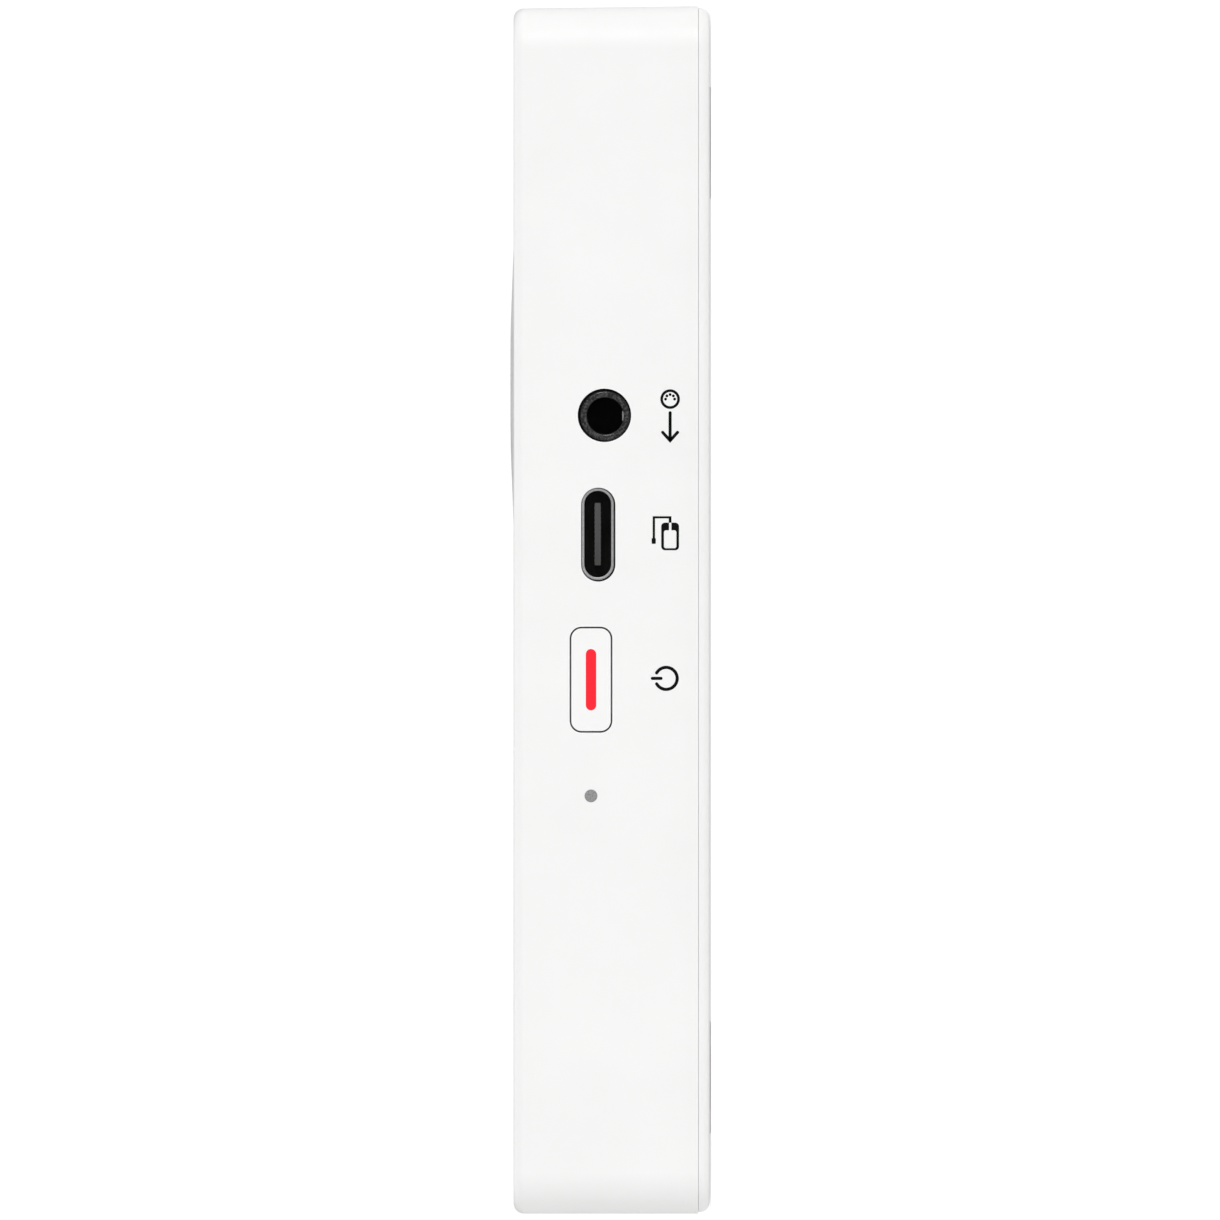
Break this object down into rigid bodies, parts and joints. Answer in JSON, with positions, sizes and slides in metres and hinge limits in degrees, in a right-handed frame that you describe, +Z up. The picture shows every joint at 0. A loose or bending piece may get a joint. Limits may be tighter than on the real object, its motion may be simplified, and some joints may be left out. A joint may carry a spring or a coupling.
{
  "type": "midi keyboard",
  "caption": "Slim white keyboard controller with sprung mini keys, a shallow round pad, flush buttons, and jack, USB-C socket and power button on its left side.",
  "frame": {"origin": "on the surface the keyboard stands on, under the middle of the case", "axes": "+X to the player's right along the keys, +Y to the rear, +Z up"},
  "size_m": [0.36, 0.117, 0.0195],
  "materials": {
    "case_white": "fine satin moulding",
    "button_white": "fine satin moulding",
    "pad_white": "smooth satin",
    "key_white": "glossy",
    "key_black": "fine satin moulding",
    "bar_red": "satin",
    "foot_rubber": "pale matt",
    "silicone": "translucent matt",
    "screw_steel": "nickel plated",
    "rod_steel": "ground",
    "frame_grey": "moulded",
    "stop_felt": "felt",
    "board_green": "solder mask",
    "battery_foil": "foil pouch",
    "foam_tape": "foam",
    "connector_steel": "nickel plated",
    "connector_black": "moulded",
    "contact_gold": "gold plated",
    "switch_black": "moulded",
    "led_white": "encapsulated",
    "light_pipe": "smoked",
    "cable_white": "flat flexible"
  },
  "bodies": {
    "case": {"top_shell": "case_white", "bottom_cover": "case_white", "rubber_feet": "foot_rubber", "case_screws": "screw_steel", "key_frame": "frame_grey", "hinge_rod": "rod_steel", "stop_felts": "stop_felt", "contact_board": "board_green", "dome_strip": "silicone", "main_board": "board_green", "battery": "battery_foil", "battery_tape": "foam_tape", "board_screws": "screw_steel", "usb_c_shell": "connector_steel", "usb_c_core": "connector_black", "midi_jack_body": "connector_black", "midi_jack_contacts": "contact_gold", "power_switch": "switch_black", "status_led": "led_white", "led_light_pipe": "light_pipe", "panel_board": "board_green", "panel_switches": "switch_black", "indicator_lights": "light_pipe", "pad_board": "board_green", "pad_ring": "silicone", "flat_cables": "cable_white"},
    "power_button": {"power_button": "button_white", "power_button_bar": "bar_red"},
    "touch_pad": {"touch_pad": "pad_white"},
    "octave_down_button": {"octave_down_button": "button_white"},
    "octave_up_button": {"octave_up_button": "button_white"},
    "arp_button": {"arp_button": "button_white"},
    "hold_button": {"hold_button": "button_white"},
    "play_button": {"play_button": "button_white"},
    "record_button": {"record_button": "button_white"},
    "white_key_01": {"white_key_01": "key_white"},
    "black_key_01": {"black_key_01": "key_black"},
    "white_key_02": {"white_key_02": "key_white"},
    "black_key_02": {"black_key_02": "key_black"},
    "white_key_03": {"white_key_03": "key_white"},
    "white_key_04": {"white_key_04": "key_white"},
    "black_key_03": {"black_key_03": "key_black"},
    "white_key_05": {"white_key_05": "key_white"},
    "black_key_04": {"black_key_04": "key_black"},
    "white_key_06": {"white_key_06": "key_white"},
    "black_key_05": {"black_key_05": "key_black"},
    "white_key_07": {"white_key_07": "key_white"},
    "white_key_08": {"white_key_08": "key_white"},
    "black_key_06": {"black_key_06": "key_black"},
    "white_key_09": {"white_key_09": "key_white"},
    "black_key_07": {"black_key_07": "key_black"},
    "white_key_10": {"white_key_10": "key_white"},
    "white_key_11": {"white_key_11": "key_white"},
    "black_key_08": {"black_key_08": "key_black"},
    "white_key_12": {"white_key_12": "key_white"},
    "black_key_09": {"black_key_09": "key_black"},
    "white_key_13": {"white_key_13": "key_white"},
    "black_key_10": {"black_key_10": "key_black"},
    "white_key_14": {"white_key_14": "key_white"},
    "white_key_15": {"white_key_15": "key_white"}
  },
  "joints": [
    {"name": "white_key_01_press", "type": "hinge", "parent": "case", "child": "white_key_01", "pos_m": [0, 0.0385, 0.00915], "axis": [1, 0, 0], "range_deg": [0, 1.78], "stiffness_Nm_per_rad": 0.9, "springref_deg": -1.89},
    {"name": "black_key_01_press", "type": "hinge", "parent": "case", "child": "black_key_01", "pos_m": [0, 0.0385, 0.00915], "axis": [1, 0, 0], "range_deg": [0, 1.78], "stiffness_Nm_per_rad": 0.9, "springref_deg": -1.89},
    {"name": "white_key_02_press", "type": "hinge", "parent": "case", "child": "white_key_02", "pos_m": [0, 0.0385, 0.00915], "axis": [1, 0, 0], "range_deg": [0, 1.78], "stiffness_Nm_per_rad": 0.9, "springref_deg": -1.89},
    {"name": "black_key_02_press", "type": "hinge", "parent": "case", "child": "black_key_02", "pos_m": [0, 0.0385, 0.00915], "axis": [1, 0, 0], "range_deg": [0, 1.78], "stiffness_Nm_per_rad": 0.9, "springref_deg": -1.89},
    {"name": "white_key_03_press", "type": "hinge", "parent": "case", "child": "white_key_03", "pos_m": [0, 0.0385, 0.00915], "axis": [1, 0, 0], "range_deg": [0, 1.78], "stiffness_Nm_per_rad": 0.9, "springref_deg": -1.89},
    {"name": "white_key_04_press", "type": "hinge", "parent": "case", "child": "white_key_04", "pos_m": [0, 0.0385, 0.00915], "axis": [1, 0, 0], "range_deg": [0, 1.78], "stiffness_Nm_per_rad": 0.9, "springref_deg": -1.89},
    {"name": "black_key_03_press", "type": "hinge", "parent": "case", "child": "black_key_03", "pos_m": [0, 0.0385, 0.00915], "axis": [1, 0, 0], "range_deg": [0, 1.78], "stiffness_Nm_per_rad": 0.9, "springref_deg": -1.89},
    {"name": "white_key_05_press", "type": "hinge", "parent": "case", "child": "white_key_05", "pos_m": [0, 0.0385, 0.00915], "axis": [1, 0, 0], "range_deg": [0, 1.78], "stiffness_Nm_per_rad": 0.9, "springref_deg": -1.89},
    {"name": "black_key_04_press", "type": "hinge", "parent": "case", "child": "black_key_04", "pos_m": [0, 0.0385, 0.00915], "axis": [1, 0, 0], "range_deg": [0, 1.78], "stiffness_Nm_per_rad": 0.9, "springref_deg": -1.89},
    {"name": "white_key_06_press", "type": "hinge", "parent": "case", "child": "white_key_06", "pos_m": [0, 0.0385, 0.00915], "axis": [1, 0, 0], "range_deg": [0, 1.78], "stiffness_Nm_per_rad": 0.9, "springref_deg": -1.89},
    {"name": "black_key_05_press", "type": "hinge", "parent": "case", "child": "black_key_05", "pos_m": [0, 0.0385, 0.00915], "axis": [1, 0, 0], "range_deg": [0, 1.78], "stiffness_Nm_per_rad": 0.9, "springref_deg": -1.89},
    {"name": "white_key_07_press", "type": "hinge", "parent": "case", "child": "white_key_07", "pos_m": [0, 0.0385, 0.00915], "axis": [1, 0, 0], "range_deg": [0, 1.78], "stiffness_Nm_per_rad": 0.9, "springref_deg": -1.89},
    {"name": "white_key_08_press", "type": "hinge", "parent": "case", "child": "white_key_08", "pos_m": [0, 0.0385, 0.00915], "axis": [1, 0, 0], "range_deg": [0, 1.78], "stiffness_Nm_per_rad": 0.9, "springref_deg": -1.89},
    {"name": "black_key_06_press", "type": "hinge", "parent": "case", "child": "black_key_06", "pos_m": [0, 0.0385, 0.00915], "axis": [1, 0, 0], "range_deg": [0, 1.78], "stiffness_Nm_per_rad": 0.9, "springref_deg": -1.89},
    {"name": "white_key_09_press", "type": "hinge", "parent": "case", "child": "white_key_09", "pos_m": [0, 0.0385, 0.00915], "axis": [1, 0, 0], "range_deg": [0, 1.78], "stiffness_Nm_per_rad": 0.9, "springref_deg": -1.89},
    {"name": "black_key_07_press", "type": "hinge", "parent": "case", "child": "black_key_07", "pos_m": [0, 0.0385, 0.00915], "axis": [1, 0, 0], "range_deg": [0, 1.78], "stiffness_Nm_per_rad": 0.9, "springref_deg": -1.89},
    {"name": "white_key_10_press", "type": "hinge", "parent": "case", "child": "white_key_10", "pos_m": [0, 0.0385, 0.00915], "axis": [1, 0, 0], "range_deg": [0, 1.78], "stiffness_Nm_per_rad": 0.9, "springref_deg": -1.89},
    {"name": "white_key_11_press", "type": "hinge", "parent": "case", "child": "white_key_11", "pos_m": [0, 0.0385, 0.00915], "axis": [1, 0, 0], "range_deg": [0, 1.78], "stiffness_Nm_per_rad": 0.9, "springref_deg": -1.89},
    {"name": "black_key_08_press", "type": "hinge", "parent": "case", "child": "black_key_08", "pos_m": [0, 0.0385, 0.00915], "axis": [1, 0, 0], "range_deg": [0, 1.78], "stiffness_Nm_per_rad": 0.9, "springref_deg": -1.89},
    {"name": "white_key_12_press", "type": "hinge", "parent": "case", "child": "white_key_12", "pos_m": [0, 0.0385, 0.00915], "axis": [1, 0, 0], "range_deg": [0, 1.78], "stiffness_Nm_per_rad": 0.9, "springref_deg": -1.89},
    {"name": "black_key_09_press", "type": "hinge", "parent": "case", "child": "black_key_09", "pos_m": [0, 0.0385, 0.00915], "axis": [1, 0, 0], "range_deg": [0, 1.78], "stiffness_Nm_per_rad": 0.9, "springref_deg": -1.89},
    {"name": "white_key_13_press", "type": "hinge", "parent": "case", "child": "white_key_13", "pos_m": [0, 0.0385, 0.00915], "axis": [1, 0, 0], "range_deg": [0, 1.78], "stiffness_Nm_per_rad": 0.9, "springref_deg": -1.89},
    {"name": "black_key_10_press", "type": "hinge", "parent": "case", "child": "black_key_10", "pos_m": [0, 0.0385, 0.00915], "axis": [1, 0, 0], "range_deg": [0, 1.78], "stiffness_Nm_per_rad": 0.9, "springref_deg": -1.89},
    {"name": "white_key_14_press", "type": "hinge", "parent": "case", "child": "white_key_14", "pos_m": [0, 0.0385, 0.00915], "axis": [1, 0, 0], "range_deg": [0, 1.78], "stiffness_Nm_per_rad": 0.9, "springref_deg": -1.89},
    {"name": "white_key_15_press", "type": "hinge", "parent": "case", "child": "white_key_15", "pos_m": [0, 0.0385, 0.00915], "axis": [1, 0, 0], "range_deg": [0, 1.78], "stiffness_Nm_per_rad": 0.9, "springref_deg": -1.89},
    {"name": "octave_down_button_press", "type": "slide", "parent": "case", "child": "octave_down_button", "axis": [0, 0, -1], "range_m": [0, 0.0004], "stiffness_N_per_m": 1500, "springref_m": -0.0003},
    {"name": "octave_up_button_press", "type": "slide", "parent": "case", "child": "octave_up_button", "axis": [0, 0, -1], "range_m": [0, 0.0004], "stiffness_N_per_m": 1500, "springref_m": -0.0003},
    {"name": "arp_button_press", "type": "slide", "parent": "case", "child": "arp_button", "axis": [0, 0, -1], "range_m": [0, 0.0004], "stiffness_N_per_m": 1500, "springref_m": -0.0003},
    {"name": "hold_button_press", "type": "slide", "parent": "case", "child": "hold_button", "axis": [0, 0, -1], "range_m": [0, 0.0004], "stiffness_N_per_m": 1500, "springref_m": -0.0003},
    {"name": "play_button_press", "type": "slide", "parent": "case", "child": "play_button", "axis": [0, 0, -1], "range_m": [0, 0.0004], "stiffness_N_per_m": 1500, "springref_m": -0.0003},
    {"name": "record_button_press", "type": "slide", "parent": "case", "child": "record_button", "axis": [0, 0, -1], "range_m": [0, 0.0004], "stiffness_N_per_m": 1500, "springref_m": -0.0003},
    {"name": "touch_pad_press", "type": "slide", "parent": "case", "child": "touch_pad", "axis": [0, 0, -1], "range_m": [0, 0.0005], "stiffness_N_per_m": 1500, "springref_m": -0.0004},
    {"name": "power_button_press", "type": "slide", "parent": "case", "child": "power_button", "axis": [1, 0, 0], "range_m": [0, 0.0004], "stiffness_N_per_m": 1500, "springref_m": -0.0003}
  ]
}
